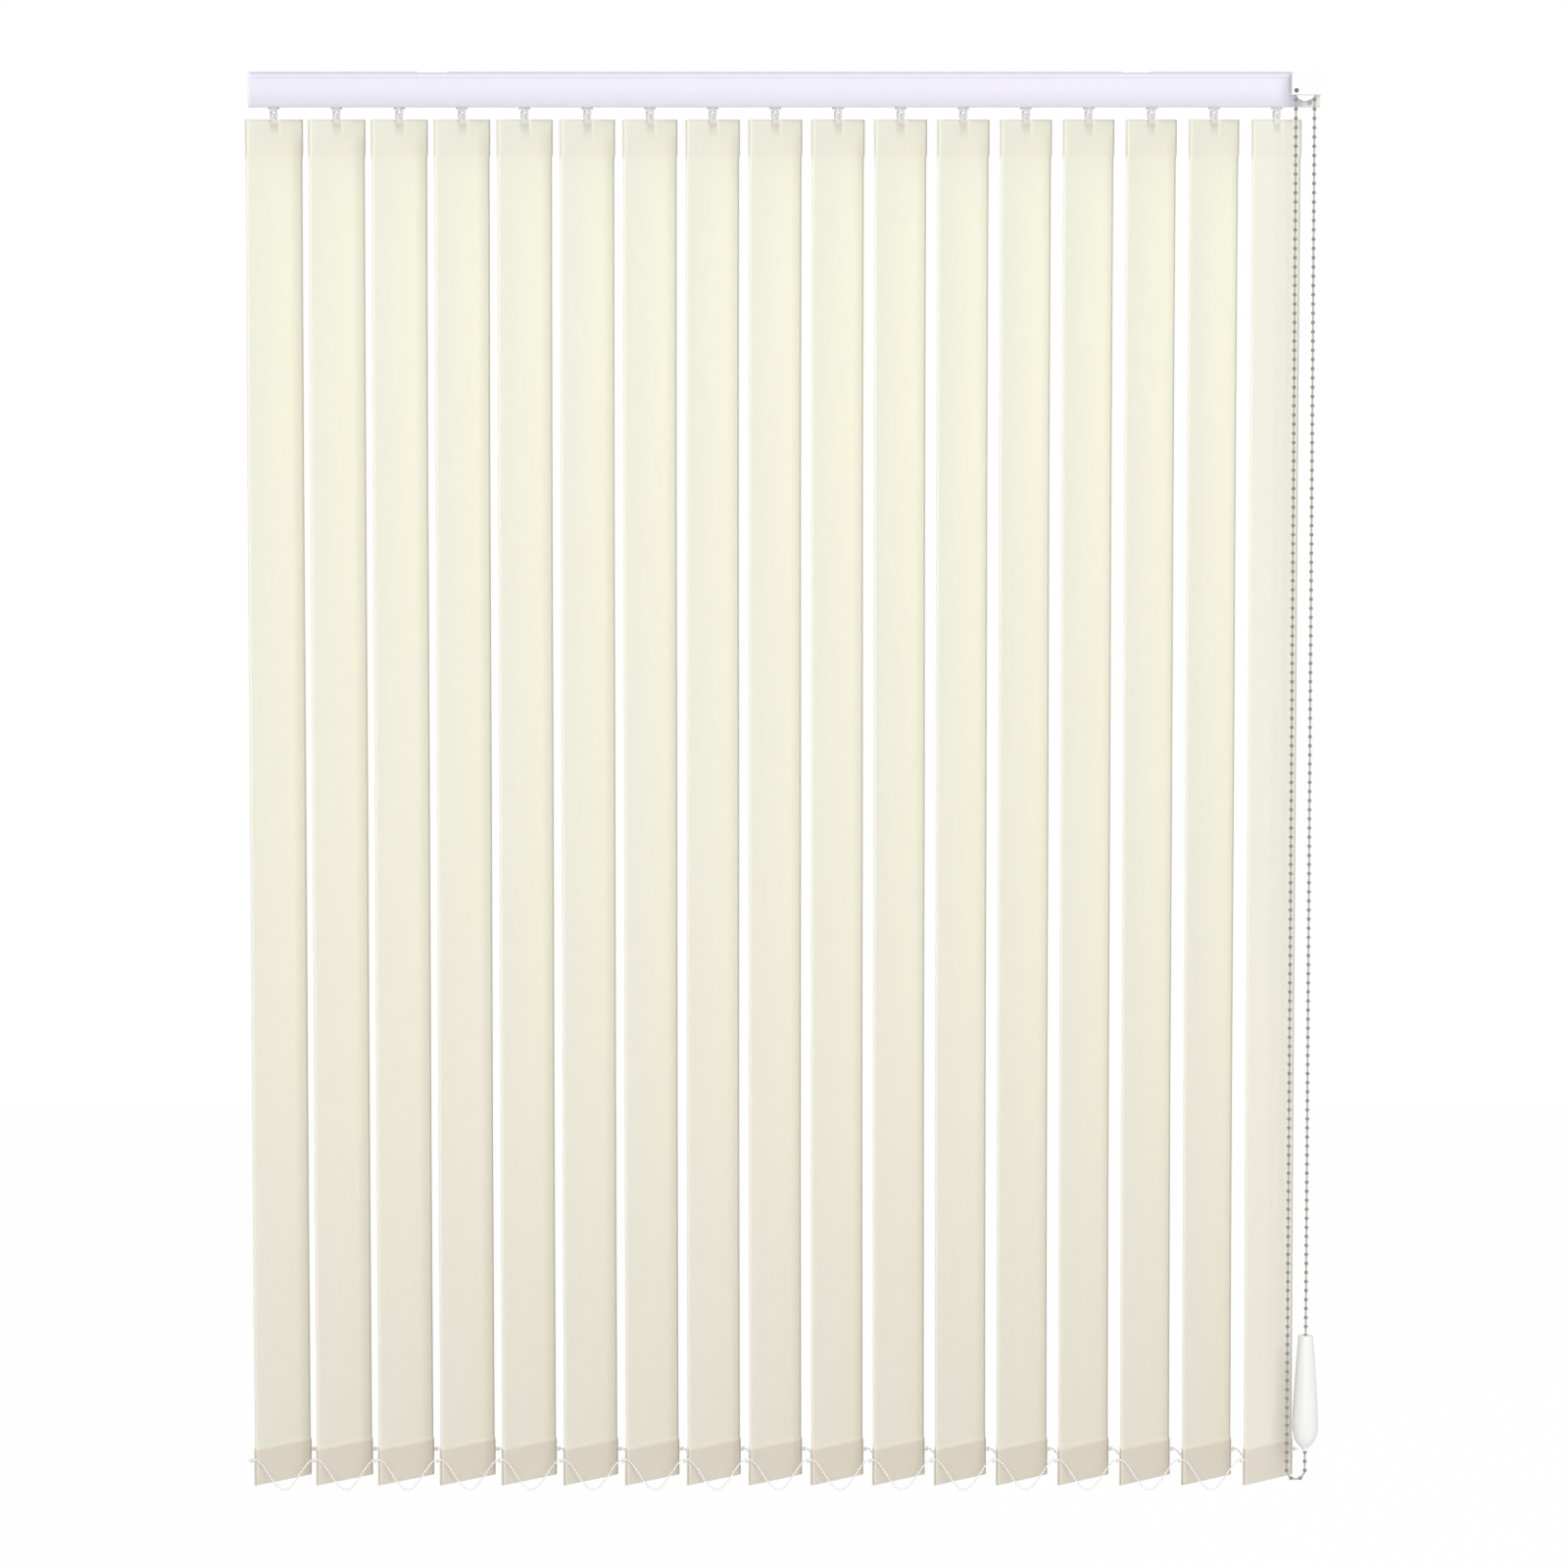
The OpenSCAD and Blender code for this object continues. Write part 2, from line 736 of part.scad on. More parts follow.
// Round tube along a path in one upright plane
module tube(path, y, r) {
    last = len(path) - 1;
    rings = [for (k = [0:last], a = [0:tube_sides - 1])
        let (d = path[min(k + 1, last)] - path[max(k - 1, 0)], n = [-d[1], d[0]] / norm(d),
             f = 360 * a / tube_sides, p = path[k] + n * r * sin(f))
            [p[0], y + r * cos(f), p[1]]];
    walls = [for (k = [0:last - 1], a = [0:tube_sides - 1])
        let (b = (a + 1) % tube_sides, m = k * tube_sides)
            [m + a, m + b, m + tube_sides + b, m + tube_sides + a]];
    ends = [[for (a = [tube_sides - 1:-1:0]) a], [for (a = [0:tube_sides - 1]) last * tube_sides + a]];
    polyhedron(rings, concat(walls, ends));
}

module link_chain(side) {
    color("white")
        tube(link_path(side), side * link_reach * sin(slat_yaw), link_r);
}

headrail();
brackets();
idle_end_cap();
control_housing();
tilt_rod();
chain_wheel();
control_chain();
chain_weight();
link_chain(-1);  // link_chain_front
link_chain(1);  // link_chain_back
for (i = [1:slat_count - 1])
    carrier(i);
for (i = [1:slat_count])
    slat(i);
for (i = [1:slat_count])
    hanger_and_weight(i);
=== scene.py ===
"""Finishes, cloth and chains of a vertical blind, made round its packed frame."""
import json
import math

import bmesh
import bpy
import numpy as np
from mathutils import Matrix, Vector


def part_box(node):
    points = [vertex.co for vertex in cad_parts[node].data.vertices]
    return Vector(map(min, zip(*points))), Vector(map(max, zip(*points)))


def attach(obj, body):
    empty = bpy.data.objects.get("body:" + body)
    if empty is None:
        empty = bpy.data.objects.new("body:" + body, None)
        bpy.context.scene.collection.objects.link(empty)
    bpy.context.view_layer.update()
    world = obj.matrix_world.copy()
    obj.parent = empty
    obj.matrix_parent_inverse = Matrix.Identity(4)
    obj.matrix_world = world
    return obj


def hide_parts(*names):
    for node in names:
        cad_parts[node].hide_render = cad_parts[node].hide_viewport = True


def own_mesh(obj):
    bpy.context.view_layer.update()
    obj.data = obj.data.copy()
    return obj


bl_info = {
    "name": "Vertical Blind",
    "version": (1, 0, 0),
    "blender": (4, 5, 0),
    "location": "View3D > Sidebar > Blind",
    "description": "Dresses a vertical blind: slats, headrail, bead chains and stage",
    "category": "Object",
}

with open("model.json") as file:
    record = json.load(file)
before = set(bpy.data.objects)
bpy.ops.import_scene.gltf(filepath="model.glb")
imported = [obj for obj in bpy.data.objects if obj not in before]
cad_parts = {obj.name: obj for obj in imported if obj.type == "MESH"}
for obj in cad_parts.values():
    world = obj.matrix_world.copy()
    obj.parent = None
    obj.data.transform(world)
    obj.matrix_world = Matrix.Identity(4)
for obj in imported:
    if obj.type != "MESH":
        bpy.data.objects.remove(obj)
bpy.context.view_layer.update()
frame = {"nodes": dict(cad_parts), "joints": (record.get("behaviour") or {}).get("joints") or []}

JOINTS = {joint["name"]: joint for joint in frame["joints"]}
SLATS = sorted(name for name in frame["nodes"] if name.startswith("slat_"))
CARRIERS = sorted(name for name in frame["nodes"] if name.startswith("carrier_"))
HANGERS = sorted(name for name in frame["nodes"] if name.startswith("hanger_and_weight_"))
AXES = np.array([JOINTS[name.replace("slat", "tilt")]["pos_m"] for name in SLATS])
RAIL_LOW, RAIL_HIGH = (np.array(corner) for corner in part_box("headrail"))
SLAT_LOW, SLAT_HIGH = (np.array(corner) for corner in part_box(SLATS[0]))
WEIGHT_LOW, WEIGHT_HIGH = (np.array(corner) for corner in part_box("chain_weight"))
WHEEL_AXIS = np.array(JOINTS["chain_wheel_turn"]["pos_m"])
SLAT_PITCH = float(AXES[1, 0] - AXES[0, 0])
PEGS = {side: np.array(JOINTS["link_swing_" + side]["pos_m"]) for side in ("front", "back")}

# How finely the surfaces are divided
RINGS_PER_BEAD = 7
CONTROL_SIDES, LINK_SIDES = 10, 8
LINK_SAMPLES = 6000
BELLY_ROWS, NECK_ROWS, RIM_ROWS, WEIGHT_SIDES = 18, 30, 5, 64
FOLD_ROWS, SHEET_ROWS = 9, 90
WING_COLUMNS, NOTCH_COLUMNS = 9, 5
FACE_ROWS, EDGE_ROWS, RAIL_STATIONS = 18, 7, 25
DOME_ROWS, RIVET_SIDES = 9, 40

# Edges sharper than this aren't smoothed, unless a piece has an angle of its own
SHARP_EDGE = math.radians(35)

# Share of the sheet's drop at which a row marks the upper edge of the painted highlight at the hem's edge
SEAM_ROW = 0.9988

# The cloth's ripple, as a share of its bow and as half waves in the drop
RIPPLE, RIPPLE_WAVES = 0.4, 3

# Painted shade and highlight of the cloth: the length over which the shade of two-layer cloth sets in, its
# share at the top pocket, the share of the painted highlight's colour at the hem's edge, and the highlight's
# reach below and above that edge, in lengths of its slope
SHADE_EASE, POCKET_SHADE, SEAM_HIGHLIGHT = 0.002, 0.12, 0.6
HIGHLIGHT_BELOW, HIGHLIGHT_ABOVE = 1 / 6, 1.1

# End pieces: points this near are one, and so are faces within this angle. An edge is rounded where it is
# sharper and longer than this, and where each edge beside it is longer than the room
POINT_GAP, FACE_ANGLE = 1e-6, math.radians(0.4)
ROUNDED_ANGLE, ROUNDED_LENGTH, ROUNDED_ROOM = math.radians(50), 0.004, 0.0011
BEVEL_WELD = 2e-6

# Height of the cloth's slubs beside that of its threads
SLUB_HEIGHT = 0.5

# The rail's paint: where the painted shade of its tuck gives way to the upper tone, below and above the brow,
# and where the painted shade along its upper edge starts and is full, below the top
FADE_BELOW, FADE_ABOVE = 0.014, 0.002
EDGE_SHADE_START, EDGE_SHADE_FULL = 0.0035, 0.0015

# Lamps: places from the middle of the fixing face, the side lamp at the picture's centre, and sides
KEY_PLACE, KEY_SIZE = (2.6, -12.0, 3.4), 5.0
FILL_PLACE, FILL_SIZE = (-0.4, -12.0, -0.4), 5.0
BACK_PLACE, BACK_SIZE = (0.5, 3.0, 0.8), 2.6
SIDE_X, SIDE_Y, SIDE_SIZE = 4.5, 0.15, 0.8

# Places of the colour sockets on a Mix node, and the length of one band at a wave texture's scale of 1
MIX_SHARE, MIX_FIRST, MIX_SECOND, MIX_COLOUR = 0, 6, 7, 2
BAND_LENGTH = math.pi / 10


def length(name, default, description):
    """A size in metres that a user may change."""
    return bpy.props.FloatProperty(name=name, default=default, description=description, unit="LENGTH",
                                   precision=5)


def colour(name, default, description):
    """A linear colour that a user may change."""
    return bpy.props.FloatVectorProperty(name=name, default=default, description=description,
                                         subtype="COLOR", size=3, min=0, max=1)


class SlatSizes(bpy.types.PropertyGroup):
    """Sizes of one fabric slat."""

    width: length("Width", 0.089, "Width of the fabric")
    thickness: length("Thickness", 0.0006, "Thickness of the fabric")
    yaw: bpy.props.FloatProperty(name="Turn", default=math.radians(48), subtype="ANGLE",
                                 description="Turn of the slats from the rail's line at rest")
    top_pocket: length("Top pocket", 0.040, "Height of the pocket that holds the hanger")
    hem: length("Hem", 0.042, "Height of the pocket that holds the weight")
    slope: length("Seam slope", 0.003, "Length over which a pocket closes to the single sheet")
    pocket_half: length("Half pocket", 0.00105, "Half of the room inside a pocket")
    notch_width: length("Notch width", 0.013, "Width of the notch in the top fold")
    notch_height: length("Notch height", 0.005, "Height of the notch in the top fold")
    bow: length("Bow", 0.0007, "How far the hanging cloth bows between its pockets")


class ChainSizes(bpy.types.PropertyGroup):
    """Sizes of the control chain and of the link chains."""

    bead: length("Bead", 0.0046, "Diameter of a control chain bead")
    pitch: length("Pitch", 0.0105, "Distance from bead to bead on the control chain")
    cord: length("Cord", 0.0020, "Diameter of the cord between beads")
    strand_beads: bpy.props.IntProperty(name="Beads", default=151,
                                        description="Bead gaps in one straight strand")
    bend_beads: bpy.props.IntProperty(name="Bend beads", default=3, description="Bead gaps in one half turn")
    link_bead: length("Link bead", 0.0026, "Diameter of a link chain bead")
    link_pitch: length("Link pitch", 0.0042, "Distance from bead to bead on a link chain")
    link_cord: length("Link cord", 0.0011, "Diameter of the cord in a link chain")
    link_sag: length("Link sag", 0.036, "Sag of a link chain between two slats")
    link_core: length("Link core", 0.0020, "Diameter of the round core that a link chain is set out on")
    stack_pitch: length("Stack pitch", 0.022, "Distance between slats that are drawn to one side")


class WeightSizes(bpy.types.PropertyGroup):
    """Sizes of the weight on the control chain."""

    neck: length("Neck", 0.0085, "Radius of the slim neck at the top")
    bore: length("Bore", 0.0027, "Radius of the bore")
    wall: length("Wall", 0.001, "Least wall round the bore")
    rim: length("Rim", 0.0012, "Radius of the neck's upper edge")
    belly: bpy.props.FloatProperty(name="Belly", default=0.24, subtype="FACTOR", min=0, max=1,
                                   description="Share of the height at which the weight is widest")


class RivetSizes(bpy.types.PropertyGroup):
    """Sizes of the rivet in the housing's window."""

    diameter: length("Diameter", 0.0052, "Diameter of the rivet")
    depth: length("Depth", 0.0016, "Depth of the rivet behind its rim")
    dome: length("Dome", 0.0004, "Height of the dome round the hole")
    hole: bpy.props.FloatProperty(name="Hole", default=2 / 9, subtype="FACTOR", min=0, max=1,
                                  description="Width of the hole as a share of the diameter")


class RailSizes(bpy.types.PropertyGroup):
    """Sizes of the headrail's section and of its end pieces' edges."""

    wall: length("Wall", 0.0016, "Wall of the rail")
    brow: length("Brow", 0.020, "Height of the upright upper part of each face")
    tuck: length("Tuck", 0.005, "How far each face tucks in towards the bottom")
    edge: length("Edge", 0.0015, "Radius of the upper edges")
    groove_drop: length("Groove drop", 0.006, "Distance of the fine groove below the upper edge")
    groove_width: length("Groove width", 0.0012, "Width of the fine groove")
    groove_depth: length("Groove depth", 0.0007, "Depth of the fine groove")
    slot: length("Slot", 0.020, "Width of the running slot on the underside")
    channel_mouth: length("Channel mouth", 0.018, "Mouth of the fixing channel")
    channel_undercut: length("Undercut", 0.003, "Undercut on each side of the fixing channel")
    channel_depth: length("Channel depth", 0.0046, "Depth of the fixing channel")
    channel_lip: length("Channel lip", 0.0014, "Lip over the undercut")
    end_edge: length("End edge", 0.0005, "Rounding of the end pieces' edges")


class Finishes(bpy.types.PropertyGroup):
    """Colours of the finishes."""

    cloth_high: colour("Cloth, high", (0.95, 0.945, 0.825), "Fabric near the rail")
    # Painted shade: the cloth is painted darker towards its foot, for light that falls off down the drop
    cloth_foot_shade: colour("Cloth, low", (0.855, 0.815, 0.72), "Fabric near the hem")
    # Painted shade: the two-layer hem is painted deeper, for the light that it holds back
    hem: colour("Hem", (0.765, 0.71, 0.61), "Doubled fabric of the hem")
    # Painted highlight: the pale band along the hem's edge
    seam: colour("Seam", (0.92, 0.90, 0.78), "Edge of the hem where it meets the single sheet")
    slub: colour("Slubs", (0.62, 0.60, 0.50), "Darker streaks along the thick threads")
    # Painted shade: the gaps between the threads are darkened as shade
    weave_gap_shade: colour("Weave gaps", (0.45, 0.43, 0.35), "Gaps between the threads")
    rail: colour("Rail", (0.775, 0.742, 0.85), "Upper part of the painted headrail")
    # Painted shade: the tucked lower band is painted deeper
    rail_tuck_shade: colour("Rail, low", (0.705, 0.70, 0.79), "Tucked lower part of the headrail")
    # Painted shade: a grey line along the rail's upper edge
    rail_edge_shade: colour("Rail, edge", (0.62, 0.61, 0.66), "Upper edge of the headrail")
    rail_cloud: colour("Rail, clouds", (0.5, 0.5, 0.55), "Faint clouds in the paint")
    moulding: colour("Mouldings", (0.83, 0.83, 0.83), "White moulded pieces")
    weight: colour("Weight", (0.86, 0.86, 0.855), "White weight on the control chain")
    bead: colour("Beads", (0.30, 0.28, 0.245), "Beads of the control chain")
    cord: colour("Cord", (0.50, 0.47, 0.42), "Cord between the beads")
    # Painted shade: the dark rivet stands in for the shaded inside of the housing's window
    rivet: colour("Rivet", (0.13, 0.13, 0.145), "Hollow rivet in the housing")
    steel: colour("Steel", (0.62, 0.62, 0.63), "Zinc plated brackets")
    rod: colour("Rod", (0.70, 0.70, 0.72), "Drawn aluminium rod")
    link: colour("Link chains", (0.93, 0.93, 0.91), "White bead chains at the hems")
    stage: colour("Stage", (0.93, 0.93, 0.93), "Floor")


class StageSettings(bpy.types.PropertyGroup):
    """Camera, floor and light."""

    distance: length("Camera distance", 8.0, "From the slats' axes to the camera")
    eye: length("Eye height", -0.05, "Height of the camera, measured from the fixing face")
    centre: length("Picture centre", -0.817, "Height that the middle of the picture looks at")
    view_width: length("View width", 1.797, "Width of the picture at the slats' axes")
    floor: length("Floor", -2.05, "Height of the floor, measured from the fixing face")
    floor_size: length("Floor size", 12.0, "Side of the square floor")
    key_power: bpy.props.FloatProperty(name="Key light", default=600.0, subtype="POWER",
                                       description="Large soft light in front, high and to the right")
    fill_power: bpy.props.FloatProperty(name="Fill light", default=446.0, subtype="POWER",
                                        description="Large soft light in front and to the left")
    back_power: bpy.props.FloatProperty(name="Back light", default=30.0, subtype="POWER",
                                        description="Soft light behind the blind")
    side_power: bpy.props.FloatProperty(name="Side light", default=16.0, subtype="POWER",
                                        description="Weak light at the control end, for the last slat")
    world: bpy.props.FloatProperty(name="World", default=0.38, description="Strength of the even light")


def grid(rows, columns, close_rows=False, close_columns=False):
    """Quads of a grid of points, numbered row by row, that may close round either way."""
    i = np.arange(rows if close_rows else rows - 1)[:, None]
    j = np.arange(columns if close_columns else columns - 1)[None, :]
    i2, j2 = (i + 1) % rows, (j + 1) % columns
    corners = [i * columns + j, i * columns + j2, i2 * columns + j2, i2 * columns + j]
    return np.stack(np.broadcast_arrays(*corners), axis=-1).reshape(-1, 4)


def add_piece(name, points, faces, sharp=SHARP_EDGE):
    """A mesh object at the origin, smooth except at edges sharper than an angle."""
    mesh = bpy.data.meshes.new(name)
    mesh.from_pydata(np.asarray(points).tolist(), [], [list(map(int, face)) for face in faces])
    mesh.update()
    mesh.shade_smooth()
    mesh.set_sharp_from_angle(angle=sharp)
    piece = bpy.data.objects.new(name, mesh)
    bpy.context.scene.collection.objects.link(piece)
    return piece


def finish_piece(piece, material, body, slot, *nodes):
    """Gives a piece its material and the body that it moves with, and hides the nodes that it stands for; its
    slot is not used.
    """
    piece.data.materials.clear()
    piece.data.materials.append(material)
    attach(piece, body)
    if nodes:
        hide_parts(*nodes)
    return piece


def store_shades(mesh, **shades):
    """Stores named values, one for each point of a mesh."""
    for name, values in shades.items():
        mesh.attributes.new(name, "FLOAT", "POINT").data.foreach_set("value", values.astype(np.float32))


def turned(outline, steps):
    """A closed outline of radius and height carried round Z: radius by the cosine and sine of a turn."""
    turn = np.linspace(0, 2 * np.pi, steps, endpoint=False)
    x, y = outline[:, :1] * np.cos(turn), outline[:, :1] * np.sin(turn)
    z = np.broadcast_to(outline[:, 1:], x.shape)
    return np.stack([x, y, z], axis=-1).reshape(-1, 3), grid(len(outline), steps, True, True)


def bead_rings(count, pitch, bead, cord, closed):
    """Places along a row of beads, in bead gaps, and the radius at each.

    A bead is a ball, cut where its radius has fallen to the cord's, so its rings stand at the sine of
    an angle along the row and its radius is the cosine.
    """
    cut = math.acos(cord / bead)
    angle = np.linspace(-cut, cut, RINGS_PER_BEAD)
    beads = np.arange(count if closed else count + 1)[:, None]
    place = beads + bead / 2 * np.sin(angle)[None, :] / pitch
    radius = np.broadcast_to(bead / 2 * np.cos(angle), place.shape)
    return place.ravel(), radius.ravel()


def swept(path, side, radius, sides):
    """Round tube: circles of a given radius about the points of a path.

    Each circle lies in the plane of the side direction and of the path's own normal, which is the path's
    tangent crossed with the side direction.
    """
    tangent = np.gradient(path, axis=0)
    tangent /= np.linalg.norm(tangent, axis=1, keepdims=True)
    normal = np.cross(tangent, side)
    turn = np.linspace(0, 2 * np.pi, sides, endpoint=False)[None, :, None]
    ring = np.cos(turn) * np.asarray(side)[None, None, :] + np.sin(turn) * normal[:, None, :]
    return (path[:, None, :] + radius[:, None, None] * ring).reshape(-1, 3)


def new_material(name, base, roughness, metallic=0.0, specular=0.5):
    """A material with its constants on the shader's own sockets, and its nodes, links and shader."""
    material = bpy.data.materials.new(name)
    material.use_nodes = True
    shader = material.node_tree.nodes["Principled BSDF"]
    shader.inputs["Base Color"].default_value = (*base, 1)
    shader.inputs["Roughness"].default_value = roughness
    shader.inputs["Metallic"].default_value = metallic
    shader.inputs["Specular IOR Level"].default_value = specular
    return material, material.node_tree.nodes, material.node_tree.links, shader


def stretched(nodes, links, vector, scale):
    """Coordinates stretched along each axis."""
    mapping = nodes.new("ShaderNodeMapping")
    mapping.inputs["Scale"].default_value = scale
    links.new(vector, mapping.inputs["Vector"])
    return mapping.outputs["Vector"]


def object_pattern(nodes, links, stretch):
    """Object coordinates in metres, stretched along each axis."""
    return stretched(nodes, links, nodes.new("ShaderNodeTexCoord").outputs["Object"], stretch)


def noise(nodes, links, vector, scale, detail=3.0):
    """Fine noise on a pattern's coordinates."""
    texture = nodes.new("ShaderNodeTexNoise")
    texture.inputs["Scale"].default_value = scale
    texture.inputs["Detail"].default_value = detail
    links.new(vector, texture.inputs["Vector"])
    return texture.outputs["Fac"]


def spread(nodes, links, value, low, high, start=0.0, end=1.0):
    """A value carried from one range, by default 0 to 1, to another."""
    node = nodes.new("ShaderNodeMapRange")
    node.inputs["From Min"].default_value = start
    node.inputs["From Max"].default_value = end
    node.inputs["To Min"].default_value = low
    node.inputs["To Max"].default_value = high
    links.new(value, node.inputs["Value"])
    return node.outputs["Result"]


def blended(nodes, links, share, first, second, blend="MIX"):
    """Two colours, each a socket or a fixed colour, mixed by a share."""
    node = nodes.new("ShaderNodeMix")
    node.data_type = "RGBA"
    node.blend_type = blend
    for socket, value in ((MIX_SHARE, share), (MIX_FIRST, first), (MIX_SECOND, second)):
        if isinstance(value, bpy.types.NodeSocket):
            links.new(value, node.inputs[socket])
        elif socket == MIX_SHARE:
            node.inputs[socket].default_value = value
        else:
            node.inputs[socket].default_value = (*value, 1)
    return node.outputs[MIX_COLOUR]


def worked_out(nodes, links, operation, *values):
    """The result of a maths node on values, each a socket or a number."""
    node = nodes.new("ShaderNodeMath")
    node.operation = operation
    for socket, value in zip(node.inputs, values):
        if isinstance(value, bpy.types.NodeSocket):
            links.new(value, socket)
        else:
            socket.default_value = value
    return node.outputs[0]


def bumped(nodes, links, shader, height, strength, distance):
    """Surface relief from a height."""
    bump = nodes.new("ShaderNodeBump")
    bump.inputs["Strength"].default_value = strength
    bump.inputs["Distance"].default_value = distance
    links.new(height, bump.inputs["Height"])
    links.new(bump.outputs["Normal"], shader.inputs["Normal"])


def speckled(name, base, roughness, grain, depth, metallic=0.0, stretch=(1, 1, 1), shade=0.94,
             specular=0.35, accent=None, clouds=12, gloss=0.15):
    """Plastic or metal: a slight change of colour and gloss with a fine relief.

    Clouds are that many times wider than the grain, and gloss is the share by which roughness changes with
    them. An accent is a stored value's name and the colour that the surface has where it is 1.
    """
    material, nodes, links, shader = new_material(name, base, roughness, metallic, specular)
    vector = object_pattern(nodes, links, stretch)
    cloud = noise(nodes, links, vector, grain / clouds)
    tone = blended(nodes, links, attribute(nodes, accent[0]), base, accent[1]) if accent else base
    tint = blended(nodes, links, cloud, (shade, shade, shade), (1, 1, 1))
    links.new(blended(nodes, links, 1.0, tone, tint, "MULTIPLY"), shader.inputs["Base Color"])
    dulled = spread(nodes, links, cloud, low=roughness * (1 - gloss), high=roughness * (1 + gloss))
    links.new(dulled, shader.inputs["Roughness"])
    bumped(nodes, links, shader, noise(nodes, links, vector, grain), strength=0.3, distance=depth)
    return material


def painted_rail(finishes, rail):
    """Satin paint, faintly clouded: a grey painted shade along the upper edge, paler to the brow, and painted
    shade deeper on the tuck below it.
    """
    top = float(RAIL_HIGH[2])
    brow = top - rail.brow
    material, nodes, links, shader = new_material("rail_white", finishes.rail, roughness=0.45, specular=0.25)
    vector = object_pattern(nodes, links, stretch=(1, 1, 1))
    cloud = noise(nodes, links, vector, scale=42)
    place = nodes.new("ShaderNodeSeparateXYZ")
    links.new(vector, place.inputs[0])
    # Painted shade on the tuck, fading out towards the brow
    upper = spread(nodes, links, place.outputs["Z"], 0.0, 1.0, start=brow - FADE_BELOW, end=brow + FADE_ABOVE)
    # Painted shade along the upper edge
    edge = spread(nodes, links, place.outputs["Z"], 0.0, 1.0, start=top - EDGE_SHADE_START, end=top - EDGE_SHADE_FULL)
    face = blended(nodes, links, upper, finishes.rail_tuck_shade, finishes.rail)
    tone = blended(nodes, links, edge, face, finishes.rail_edge_shade)
    share = spread(nodes, links, cloud, low=0.0, high=0.03)
    links.new(blended(nodes, links, share, tone, finishes.rail_cloud), shader.inputs["Base Color"])
    links.new(spread(nodes, links, cloud, low=0.38, high=0.52), shader.inputs["Roughness"])
    bumped(nodes, links, shader, noise(nodes, links, vector, scale=500), strength=0.3, distance=0.00004)
    return material


def thread_bands(nodes, links, vector, direction, spacing):
    """Rounded threads side by side, one every spacing metres."""
    wave = nodes.new("ShaderNodeTexWave")
    wave.wave_type = "BANDS"
    wave.bands_direction = direction
    wave.inputs["Scale"].default_value = BAND_LENGTH / spacing
    wave.inputs["Distortion"].default_value = 0.6
    wave.inputs["Detail"].default_value = 1.0
    wave.inputs["Detail Scale"].default_value = 0.4
    links.new(vector, wave.inputs["Vector"])
    return wave.outputs["Fac"]


def attribute(nodes, name):
    """A value stored at the piece's points."""
    node = nodes.new("ShaderNodeAttribute")
    node.attribute_name = name
    return node.outputs["Fac"]


def woven_cloth(finishes, metres):
    """Cream weave on the cloth's own coordinates: slubbed threads both ways, with painted shade towards the
    foot, where the cloth is two-layer and between the threads, and a pale painted highlight at the hem's
    edge.
    """
    material, nodes, links, shader = new_material("slat_fabric", finishes.cloth_high, roughness=0.85,
                                                  specular=0.25)
    shader.inputs["Sheen Weight"].default_value = 0.12
    shader.inputs["Sheen Roughness"].default_value = 0.5
    cloth = nodes.new("ShaderNodeUVMap")
    cloth.uv_map = "cloth"
    flat = stretched(nodes, links, cloth.outputs["UV"], scale=(metres, metres, 1))
    threads = stretched(nodes, links, flat, scale=(900, 22, 1))
    streaks = noise(nodes, links, threads, scale=1.0, detail=2.0)
    # Painted shade: the cloth darkens towards its foot
    sheet = blended(nodes, links, attribute(nodes, "foot_shade_share"), finishes.cloth_high, finishes.cloth_foot_shade)
    # Painted shade where the cloth is two-layer: full at the hem, slight at the top pocket
    hemmed = blended(nodes, links, attribute(nodes, "two_layer_shade"), sheet, finishes.hem)
    # Painted highlight: a pale band at the hem's edge
    toned = blended(nodes, links, attribute(nodes, "seam"), hemmed, finishes.seam)
    warp = thread_bands(nodes, links, flat, "X", spacing=0.0011)
    weft = thread_bands(nodes, links, flat, "Y", spacing=0.0009)
    weave = worked_out(nodes, links, "MAXIMUM", warp, weft)
    relief = worked_out(nodes, links, "MULTIPLY_ADD", streaks, SLUB_HEIGHT, weave)
    slubbed = spread(nodes, links, streaks, low=0.0, high=0.16)
    streaked = blended(nodes, links, slubbed, toned, finishes.slub)
    # Painted shade in the gaps between the threads
    between = spread(nodes, links, weave, low=0.10, high=0.0)
    links.new(blended(nodes, links, between, streaked, finishes.weave_gap_shade), shader.inputs["Base Color"])
    bumped(nodes, links, shader, relief, strength=0.35, distance=0.00025)
    return material


def seen_white(nodes, links):
    """1 for rays from the camera, from a mirror or through glass, which see the background white."""
    ray = nodes.new("ShaderNodeLightPath")
    seen = ray.outputs["Is Camera Ray"]
    for kind in ("Is Glossy Ray", "Is Transmission Ray"):
        seen = worked_out(nodes, links, "MAXIMUM", seen, ray.outputs[kind])
    return seen


def shown(nodes, links, share, first, second, output):
    """Two shaders mixed by a share and shown as the surface of an output."""
    mixed = nodes.new("ShaderNodeMixShader")
    for socket, value in zip(mixed.inputs, (share, first, second)):
        links.new(value, socket)
    links.new(mixed.outputs[0], nodes[output].inputs["Surface"])


def pale_floor(finishes, whiteness=0.985):
    """Matt floor that the camera sees nearly white, with the shadows left faint."""
    material, nodes, links, shader = new_material("pale_floor", finishes.stage, roughness=0.9, specular=0.1)
    white = nodes.new("ShaderNodeEmission")
    share = worked_out(nodes, links, "MULTIPLY", seen_white(nodes, links), whiteness)
    shown(nodes, links, share, shader.outputs[0], white.outputs[0], "Material Output")
    return material


